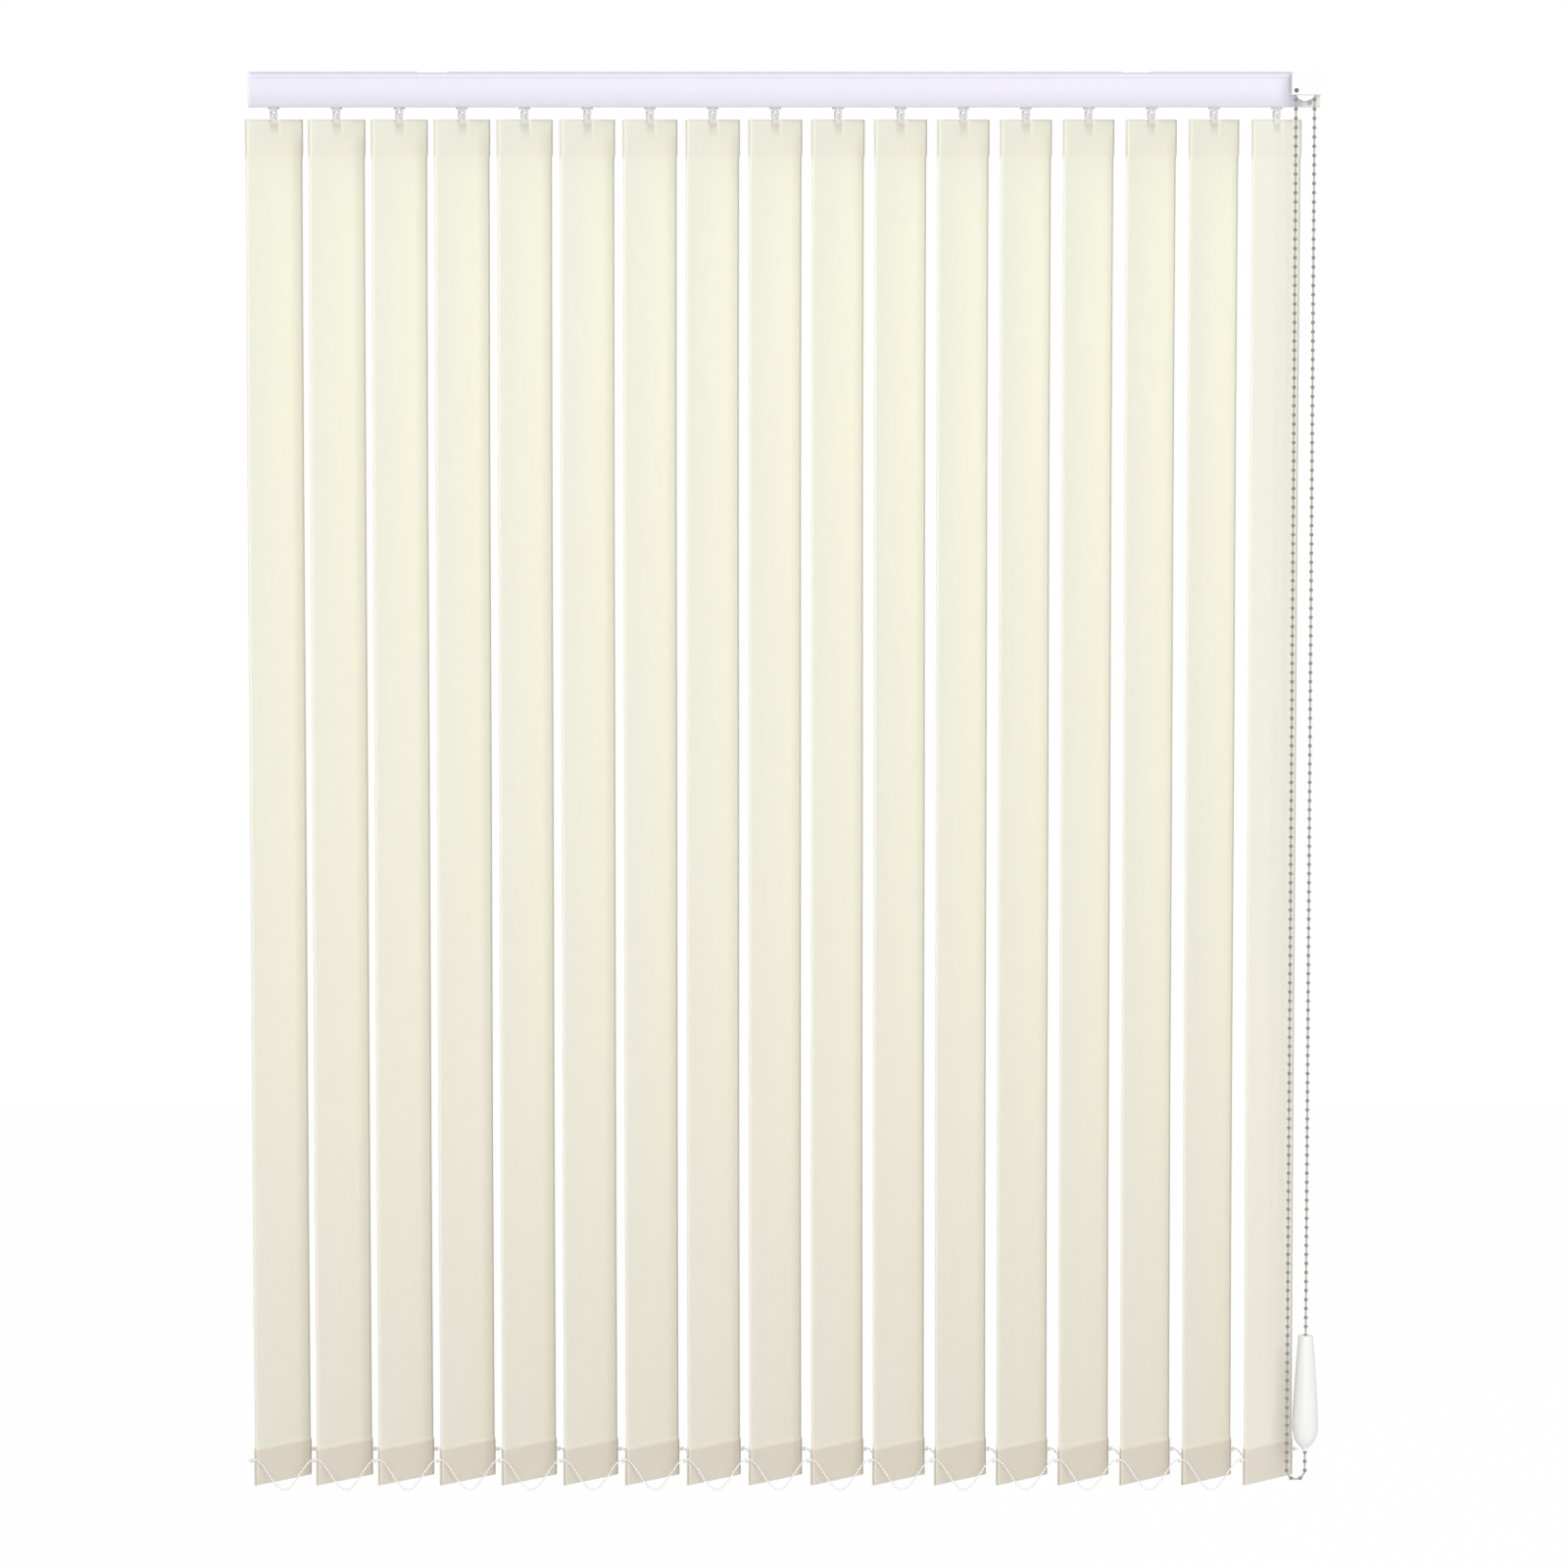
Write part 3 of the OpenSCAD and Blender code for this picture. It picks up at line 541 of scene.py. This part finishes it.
def white_world(strength):
    """Even light, seen as white by the camera and in reflections."""
    world = bpy.data.worlds.new("studio")
    world.use_nodes = True
    nodes, links = world.node_tree.nodes, world.node_tree.links
    light = nodes["Background"]
    light.inputs["Color"].default_value = (1, 1, 1, 1)
    light.inputs["Strength"].default_value = strength
    white = nodes.new("ShaderNodeBackground")
    white.inputs["Color"].default_value = (1, 1, 1, 1)
    shown(nodes, links, seen_white(nodes, links), light.outputs[0], white.outputs[0], "World Output")
    bpy.context.scene.world = world


def soft_light(name, place, target, size, power):
    """Square area light that faces a point."""
    data = bpy.data.lights.new(name, "AREA")
    data.size = size
    data.energy = power
    lamp = bpy.data.objects.new(name, data)
    lamp.location = place
    lamp.rotation_euler = (Vector(target) - Vector(place)).to_track_quat("-Z", "Y").to_euler()
    bpy.context.scene.collection.objects.link(lamp)


class BLIND_OT_stage(bpy.types.Operator):
    """Camera, pale floor and soft studio light"""

    bl_idname = "blind.stage"
    bl_label = "Stage"

    def execute(self, context):
        """The camera's tilt is the angle down to the picture's centre."""
        scene, stage = context.scene, context.scene.blind_stage
        scene.view_settings.view_transform = "Standard"
        data = bpy.data.cameras.new("camera")
        data.sensor_width = 36
        data.lens = data.sensor_width * stage.distance / stage.view_width
        camera = bpy.data.objects.new("camera", data)
        tilt = math.atan((stage.eye - stage.centre) / stage.distance)
        camera.location = (0, -stage.distance, stage.eye)
        camera.rotation_euler = (math.pi / 2 - tilt, 0, 0)
        scene.collection.objects.link(camera)
        scene.camera = camera
        half = stage.floor_size / 2
        corners = [(-half, -half, stage.floor), (half, -half, stage.floor), (half, half, stage.floor),
                   (-half, half, stage.floor)]
        floor = add_piece("floor", corners, [(0, 1, 2, 3)])
        floor.data.materials.append(pale_floor(scene.blind_finishes))
        white_world(stage.world)
        middle = (0, 0, stage.centre)
        soft_light("key", KEY_PLACE, middle, KEY_SIZE, stage.key_power)
        soft_light("fill", FILL_PLACE, middle, FILL_SIZE, stage.fill_power)
        soft_light("back", BACK_PLACE, middle, BACK_SIZE, stage.back_power)
        soft_light("side", (SIDE_X, SIDE_Y, stage.centre), middle, SIDE_SIZE, stage.side_power)
        return {"FINISHED"}


def control_loop(sizes, place):
    """Points of the control chain's loop at places counted in bead gaps.

    The loop is a strand down at the left, a half turn below, a strand up at the right and a half turn
    over the wheel. A strand takes one bead gap for each pitch, and a half turn takes equal angles.
    """
    straight, bend = sizes.strand_beads, sizes.bend_beads
    radius = sizes.pitch / (2 * math.sin(math.pi / 2 / bend))
    place = np.mod(place, 2 * (straight + bend))
    second = place >= straight + bend
    along = np.where(second, place - straight - bend, place)
    run = np.clip(along, 0, straight)
    turn = np.clip(along - straight, 0, bend) * math.pi / bend
    side = np.where(second, 1.0, -1.0)
    x = side * radius * np.cos(turn)
    z = -np.where(second, straight - run, run) * sizes.pitch + side * radius * np.sin(turn)
    return WHEEL_AXIS + np.stack([x, np.zeros_like(x), z], axis=1)


class BLIND_OT_control_chain(bpy.types.Operator):
    """Endless bead chain over the wheel, with its weight"""

    bl_idname = "blind.control_chain"
    bl_label = "Control chain"

    def execute(self, context):
        """Rings about the loop's points, as wide as the bead there; its end rings have the cord's colour."""
        sizes, finishes = context.scene.blind_chains, context.scene.blind_finishes
        count = 2 * (sizes.strand_beads + sizes.bend_beads)
        place, radius = bead_rings(count, sizes.pitch, sizes.bead, sizes.cord, True)
        path = control_loop(sizes, place)
        points = swept(path, (0, 1, 0), radius, CONTROL_SIDES)
        faces = grid(len(path), CONTROL_SIDES, True, True)
        chain = add_piece("control_bead_chain", points, faces, sharp=math.radians(60))
        ends = np.isin(np.arange(RINGS_PER_BEAD), (0, RINGS_PER_BEAD - 1))
        store_shades(chain.data, cord=np.repeat(np.tile(ends, count), CONTROL_SIDES))
        beads = speckled("bead_chain_grey", finishes.bead, roughness=0.32, grain=900, depth=0.00004,
                         shade=0.8, accent=("cord", finishes.cord))
        finish_piece(chain, beads, "headrail", "bead_chain_grey", "control_chain")
        weight = self.weight(context.scene.blind_weight, finishes)
        return {"FINISHED"}

    def weight(self, sizes, finishes):
        """Teardrop turned about the chain.

        Below its belly the radius falls by the cube of the way to the foot; above, it eases to a slim
        flat-topped neck by the power 1.3 of the way to the top. A quarter circle rounds the neck's rim.
        """
        low, high = WEIGHT_LOW, WEIGHT_HIGH
        middle = (low + high) / 2
        full, belly = (high[0] - low[0]) / 2, sizes.belly
        share = np.concatenate([np.linspace(0, belly, BELLY_ROWS), np.linspace(belly, 1, NECK_ROWS)[1:]])
        upper = np.clip((share - belly) / (1 - belly), 0, 1)
        lower = np.clip((belly - share) / belly, 0, 1)
        radius = np.where(share > belly, full + (sizes.neck - full) * upper ** 1.3, full * (1 - lower ** 3))
        radius = np.maximum(radius, sizes.bore + sizes.wall)
        height = low[2] + share * (high[2] - low[2])
        below_rim = height < high[2] - sizes.rim
        bend = np.linspace(0, math.pi / 2, RIM_ROWS)
        rim = np.stack([sizes.neck - sizes.rim * (1 - np.cos(bend)),
                        high[2] - sizes.rim * (1 - np.sin(bend))], 1)
        outline = np.concatenate([[[sizes.bore, low[2]]], np.stack([radius, height], 1)[below_rim], rim,
                                  [[sizes.bore, high[2]]]])
        points, faces = turned(outline, WEIGHT_SIDES)
        weight = add_piece("chain_weight_shell", points + [*middle[:2], 0], faces, sharp=math.radians(50))
        white = speckled("weight_white", finishes.weight, roughness=0.33, grain=700, depth=0.00005)
        return finish_piece(weight, white, "headrail", "moulded_white", "chain_weight")


def fold_path(slat):
    """Side view of one slat's cloth, as a distance across it and a height.

    The cloth starts behind the top pocket, folds over the top, hangs as a single sheet, folds under the
    weight and ends behind the hem. Folds are half circles; the sheet leans in over a short slope. Between
    the pockets it bows by the sine of its share of the drop, with a ripple by the sine of three times it.
    """
    top, bottom = SLAT_HIGH[2], SLAT_LOW[2]
    out = slat.pocket_half + slat.thickness / 2
    fold = slat.pocket_half + slat.thickness
    lap = slat.thickness
    pocket, hem = top - slat.top_pocket, bottom + slat.hem
    notch, turnover = top - slat.notch_height, hem - 3 * slat.thickness
    turn = np.linspace(0, np.pi, FOLD_ROWS)
    drop = np.concatenate([np.linspace(0, 1, SHEET_ROWS)[:-1], [SEAM_ROW, 1]])
    sway = slat.bow * np.sin(np.pi * drop) * (1 + RIPPLE * np.sin(RIPPLE_WAVES * np.pi * drop))
    run = pocket - slat.slope - drop * (pocket - hem - 2 * slat.slope)
    pieces = [
        [(lap, pocket - slat.slope), (out, pocket), (out, (pocket + notch) / 2), (out, notch)],
        np.stack([out * np.cos(turn), top - fold + out * np.sin(turn)], 1),
        [(-out, notch), (-out, (pocket + notch) / 2), (-out, pocket)],
        np.stack([sway, run], 1),
        [(-out, hem), (-out, turnover), (-out, (hem + bottom) / 2)],
        np.stack([-out * np.cos(turn), bottom + fold - out * np.sin(turn)], 1),
        [(out, (hem + bottom) / 2), (out, turnover), (out, hem), (lap, hem + slat.slope)],
    ]
    return np.concatenate([np.asarray(piece, float) for piece in pieces])


def smooth(value, low, high):
    """A share that eases from 0 at low to 1 at high."""
    share = np.clip((value - low) / (high - low), 0, 1)
    return share * share * (3 - 2 * share)


def cloth_shades(slat, z):
    """Values that tone the cloth at each height.

    The share of the drop is squared, so painted shade deepens the cloth towards its foot, where less light
    falls. Two-layer cloth at each pocket sets in over a short length and is painted darker, as shade for the
    light it holds back, and the pale band at the hem's edge is a painted highlight.
    """
    top, bottom = SLAT_HIGH[2], SLAT_LOW[2]
    hem = smooth(-z, -bottom - slat.hem - SHADE_EASE, -bottom - slat.hem)
    pocket = smooth(z, top - slat.top_pocket - SHADE_EASE, top - slat.top_pocket)
    rise = z - bottom - slat.hem
    in_highlight = (rise > -slat.slope * HIGHLIGHT_BELOW) & (rise < slat.slope * HIGHLIGHT_ABOVE)
    return {"foot_shade_share": ((top - z) / (top - bottom)) ** 2, "two_layer_shade": hem + POCKET_SHADE * pocket,
            "seam": SEAM_HIGHLIGHT * in_highlight}


class BLIND_OT_slats(bpy.types.Operator):
    """Hanging fabric slats with their folded pockets"""

    bl_idname = "blind.slats"
    bl_label = "Slats"

    def execute(self, context):
        """Each point is the side view's point carried across the width and turned about the slat's axis."""
        slat, finishes = context.scene.blind_slats, context.scene.blind_finishes
        fold = fold_path(slat)
        along = np.concatenate([[0], np.cumsum(np.linalg.norm(np.diff(fold, axis=0), axis=1))])
        notch = slat.notch_width / 2
        wing = np.linspace(notch, slat.width / 2, WING_COLUMNS)
        across = np.concatenate([-wing[::-1], np.linspace(-notch, notch, NOTCH_COLUMNS)[1:-1], wing])
        faces = grid(len(fold), len(across))
        u, v = (np.broadcast_to(part, (len(fold), len(across))) for part in (across[None, :], fold[:, :1]))
        z = np.broadcast_to(fold[:, 1:], u.shape)
        s = np.broadcast_to(along[:, None], u.shape)
        middle_z = z.ravel()[faces].mean(axis=1)
        middle_u = u.ravel()[faces].mean(axis=1)
        cut = (middle_z > SLAT_HIGH[2] - slat.notch_height) & (np.abs(middle_u) < notch)
        faces = faces[~cut]
        uv = np.stack([(u + slat.width / 2).ravel(), s.ravel()], axis=1) / along[-1]
        shades = cloth_shades(slat, z.ravel())
        cloth = woven_cloth(finishes, float(along[-1]))
        for name, axis in zip(SLATS, AXES):
            x = axis[0] + u * math.cos(slat.yaw) - v * math.sin(slat.yaw)
            y = axis[1] + u * math.sin(slat.yaw) + v * math.cos(slat.yaw)
            points = np.stack([x, y, z], axis=-1).reshape(-1, 3)
            piece = add_piece(name.replace("slat", "slat_cloth"), points, faces)
            self.lay_out(piece.data, uv)
            store_shades(piece.data, **shades)
            wall = piece.modifiers.new("cloth thickness", "SOLIDIFY")
            wall.thickness = slat.thickness
            wall.offset = 0
            finish_piece(piece, cloth, name, "slat_fabric", name)
        return {"FINISHED"}

    def lay_out(self, mesh, uv):
        """Puts the flat cloth's own coordinates into its mesh."""
        corner = np.zeros(len(mesh.loops), np.int32)
        mesh.loops.foreach_get("vertex_index", corner)
        mesh.uv_layers.new(name="cloth").data.foreach_set("uv", uv[corner].astype(np.float32).ravel())


class BLIND_OT_link_chains(bpy.types.Operator):
    """White bead chains that link the hems, front and back"""

    bl_idname = "blind.link_chains"
    bl_label = "Link chains"

    def execute(self, context):
        """Between two pegs a chain falls by its sag times the squared sine of the span's share."""
        sizes, finishes = context.scene.blind_chains, context.scene.blind_finishes
        white = speckled("link_chain_white", finishes.link, roughness=0.4, grain=900, depth=0.00004)
        for side, peg in PEGS.items():
            node = "link_chain_" + side
            low, high = (np.array(corner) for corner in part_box(node))
            span = np.linspace(low[0], high[0], LINK_SAMPLES)
            share = (span - peg[0]) / SLAT_PITCH
            fall = sizes.link_sag * np.sin(np.pi * share) ** 2
            line = np.stack([span, np.full_like(span, peg[1]), high[2] - sizes.link_core / 2 - fall], 1)
            along = np.concatenate([[0], np.cumsum(np.linalg.norm(np.diff(line, axis=0), axis=1))])
            count = int(along[-1] / sizes.link_pitch)
            place, radius = bead_rings(count, sizes.link_pitch, sizes.link_bead, sizes.link_cord, False)
            at = along[-1] * (place - place[0]) / (place[-1] - place[0])
            path = np.stack([np.interp(at, along, line[:, k]) for k in range(3)], 1)
            points = swept(path, (0, 1, 0), radius, LINK_SIDES)
            caps = [range(LINK_SIDES)[::-1], range(len(points) - LINK_SIDES, len(points))]
            faces = [*grid(len(path), LINK_SIDES, False, True), *caps]
            chain = add_piece("hem_bead_chain_" + side, points, faces, sharp=math.radians(60))
            finish_piece(chain, white, node, "link_chain_white", node)
            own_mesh(chain)
        return {"FINISHED"}


def face_curve(rail, inset):
    """One face of the rail, from the foot of its tuck to the brow: a quarter of an ellipse, set in."""
    angle = np.linspace(np.pi / 2, 0, FACE_ROWS)
    low, high = RAIL_LOW[2] + inset, RAIL_HIGH[2] - rail.brow
    y = RAIL_HIGH[1] - inset - rail.tuck * (1 - np.cos(angle))
    return np.stack([y, high - (high - low) * np.sin(angle)], 1)


def rail_section(rail):
    """Outline of the rail's section in Y and Z: outside, then inside, open at the slot below."""
    top, low, half = RAIL_HIGH[2], RAIL_LOW[2], RAIL_HIGH[1]
    edge = np.linspace(0, np.pi / 2, EDGE_ROWS)
    rounded = np.stack([half - rail.edge * (1 - np.cos(edge)), top - rail.edge * (1 - np.sin(edge))], 1)
    groove = top - rail.groove_drop
    mouth, undercut = rail.channel_mouth / 2, rail.channel_mouth / 2 + rail.channel_undercut
    ceiling = top - rail.channel_depth - rail.wall
    outside = np.concatenate([
        [(rail.slot / 2, low)], face_curve(rail, 0),
        [(half, groove - rail.groove_width), (half - rail.groove_depth, groove - rail.groove_width / 2),
         (half, groove)],
        rounded,
        [(mouth, top), (mouth, top - rail.channel_lip), (undercut, top - rail.channel_lip),
         (undercut, top - rail.channel_depth)]])
    inside = np.concatenate([
        [(undercut + rail.wall, ceiling), (undercut + rail.wall, top - rail.wall),
         (half - rail.wall, top - rail.wall)],
        face_curve(rail, rail.wall)[::-1], [(rail.slot / 2, low + rail.wall)]])
    flip = np.array([-1, 1])
    return np.concatenate([outside, outside[::-1] * flip, inside[::-1] * flip, inside])


class BLIND_OT_headrail(bpy.types.Operator):
    """Painted headrail"""

    bl_idname = "blind.headrail"
    bl_label = "Headrail"

    def execute(self, context):
        """The section carried along X in even steps, closed by a flat face at each end."""
        rail, finishes = context.scene.blind_rail, context.scene.blind_finishes
        section = rail_section(rail)
        count = len(section)
        x = np.repeat(np.linspace(RAIL_LOW[0], RAIL_HIGH[0], RAIL_STATIONS), count)
        points = np.column_stack([x, np.tile(section, (RAIL_STATIONS, 1))])
        caps = [range(count)[::-1], range(len(points) - count, len(points))]
        faces = [*grid(RAIL_STATIONS, count, False, True), *caps]
        shell = add_piece("headrail_shell", points, faces)
        finish_piece(shell, painted_rail(finishes, rail), "headrail", "rail_white", "headrail")
        return {"FINISHED"}


class BLIND_OT_mouldings(bpy.types.Operator):
    """End pieces with softened edges, and finishes for the carriers, hangers, rod and brackets"""

    bl_idname = "blind.mouldings"
    bl_label = "Mouldings"

    def execute(self, context):
        """White plastic on every moulding, and drawn or plated metal on the rod and the brackets."""
        rail, finishes = context.scene.blind_rail, context.scene.blind_finishes
        white = speckled("moulded_white", finishes.moulding, roughness=0.36, grain=700, depth=0.00005)
        for name in ("control_housing", "idle_end_cap"):
            self.softened(name, white, rail.end_edge)
        steel = speckled("bracket_steel", finishes.steel, roughness=0.42, grain=400, depth=0.00003,
                         metallic=1.0, stretch=(1, 6, 6))
        rod = speckled("rod_aluminium", finishes.rod, roughness=0.34, grain=500, depth=0.00003,
                       metallic=1.0, stretch=(0.05, 4, 4))
        for name in CARRIERS + HANGERS + ["chain_wheel"]:
            self.dress(name, white)
        self.dress("brackets", steel)
        self.dress("tilt_rod", rod)
        return {"FINISHED"}

    def dress(self, name, material):
        """Gives a node its material."""
        node = frame["nodes"][name]
        node.data.materials.clear()
        node.data.materials.append(material)

    def softened(self, name, material, rounding):
        """A merged copy of a node, its flat faces joined and its long edges rounded where there is room."""
        mesh = frame["nodes"][name].data.copy()
        mesh.name = name + "_moulding"
        mesh.attributes.new("bevel_weight_edge", "FLOAT", "EDGE")
        work = bmesh.new()
        work.from_mesh(mesh)
        bmesh.ops.remove_doubles(work, verts=work.verts, dist=POINT_GAP)
        bmesh.ops.dissolve_limit(work, angle_limit=FACE_ANGLE, verts=work.verts, edges=work.edges)
        weight = work.edges.layers.float["bevel_weight_edge"]
        for line in work.edges:
            room = min(near.calc_length() for end in line.verts for near in end.link_edges)
            sharp = line.calc_face_angle(0) > ROUNDED_ANGLE
            line[weight] = float(sharp and line.calc_length() > ROUNDED_LENGTH and room > ROUNDED_ROOM)
        work.to_mesh(mesh)
        work.free()
        mesh.shade_smooth()
        mesh.set_sharp_from_angle(angle=SHARP_EDGE)
        piece = bpy.data.objects.new(mesh.name, mesh)
        bpy.context.scene.collection.objects.link(piece)
        edge = piece.modifiers.new("soft edges", "BEVEL")
        edge.width = rounding
        edge.segments = 2
        edge.limit_method = "WEIGHT"
        piece.modifiers.new("joined points", "WELD").merge_threshold = BEVEL_WELD
        piece.modifiers.new("even normals", "WEIGHTED_NORMAL").keep_sharp = True
        finish_piece(piece, material, "headrail", "moulded_white", name)


class BLIND_OT_rivet(bpy.types.Operator):
    """Dark hollow rivet in the round window of the control housing, as painted shade for the window's dark
    inside
    """

    bl_idname = "blind.rivet"
    bl_label = "Housing rivet"

    def execute(self, context):
        """A closed outline turned about Z, its dome half a sine wave, laid so that the dome looks forward."""
        sizes, finishes = context.scene.blind_rivet, context.scene.blind_finishes
        radius, hole = sizes.diameter / 2, sizes.hole * sizes.diameter / 2
        arc = np.linspace(0, 1, DOME_ROWS)
        crown = np.stack([radius + (hole - radius) * arc, sizes.dome * np.sin(np.pi * arc)], 1)
        outline = np.concatenate([[[hole, -sizes.depth], [radius, -sizes.depth]], crown])
        points, faces = turned(outline, RIVET_SIDES)
        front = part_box("control_housing")[0][1]
        left_strand = control_loop(context.scene.blind_chains, np.zeros(1))[0, 0]
        centre = [left_strand, front, WHEEL_AXIS[2]]
        laid = points[:, [0, 2, 1]] * [1, -1, 1] + centre
        rivet = add_piece("housing_window_shade", laid, faces)
        # Painted shade: a dark piece in the window where its inside lies in shade
        dark = speckled("window_shade_grey", finishes.rivet, roughness=0.4, grain=900, depth=0.00003)
        finish_piece(rivet, dark, "headrail", "bead_chain_grey")
        return {"FINISHED"}


class BLIND_PT_panel(bpy.types.Panel):
    """Sizes, finishes and steps of the blind"""

    bl_idname = "BLIND_PT_panel"
    bl_label = "Vertical blind"
    bl_space_type = "VIEW_3D"
    bl_region_type = "UI"
    bl_category = "Blind"

    def draw(self, context):
        column = self.layout.column(align=True)
        for step in STEPS:
            column.operator(step.bl_idname)
        for group, key in GROUPS.items():
            box = self.layout.box()
            box.label(text=group.__doc__.rstrip("."))
            for name in group.__annotations__:
                box.prop(getattr(context.scene, key), name)


GROUPS = {SlatSizes: "blind_slats", ChainSizes: "blind_chains", WeightSizes: "blind_weight",
          RivetSizes: "blind_rivet", RailSizes: "blind_rail", Finishes: "blind_finishes",
          StageSettings: "blind_stage"}
STEPS = (BLIND_OT_stage, BLIND_OT_control_chain, BLIND_OT_slats, BLIND_OT_link_chains, BLIND_OT_headrail,
         BLIND_OT_mouldings, BLIND_OT_rivet)


def register():
    """Registers the settings, the steps and the panel."""
    for group, name in GROUPS.items():
        bpy.utils.register_class(group)
        setattr(bpy.types.Scene, name, bpy.props.PointerProperty(type=group))
    for step in (*STEPS, BLIND_PT_panel):
        bpy.utils.register_class(step)


def unregister():
    """Removes the panel, the steps and the settings."""
    for step in (BLIND_PT_panel, *reversed(STEPS)):
        bpy.utils.unregister_class(step)
    for group, name in reversed(GROUPS.items()):
        delattr(bpy.types.Scene, name)
        bpy.utils.unregister_class(group)


def main():
    """Registers the classes and runs the steps in order."""
    register()
    bpy.ops.blind.stage()
    bpy.ops.blind.control_chain()
    bpy.ops.blind.slats()
    bpy.ops.blind.link_chains()
    bpy.ops.blind.headrail()
    bpy.ops.blind.mouldings()
    bpy.ops.blind.rivet()


if __name__ == "__main__":
    main()
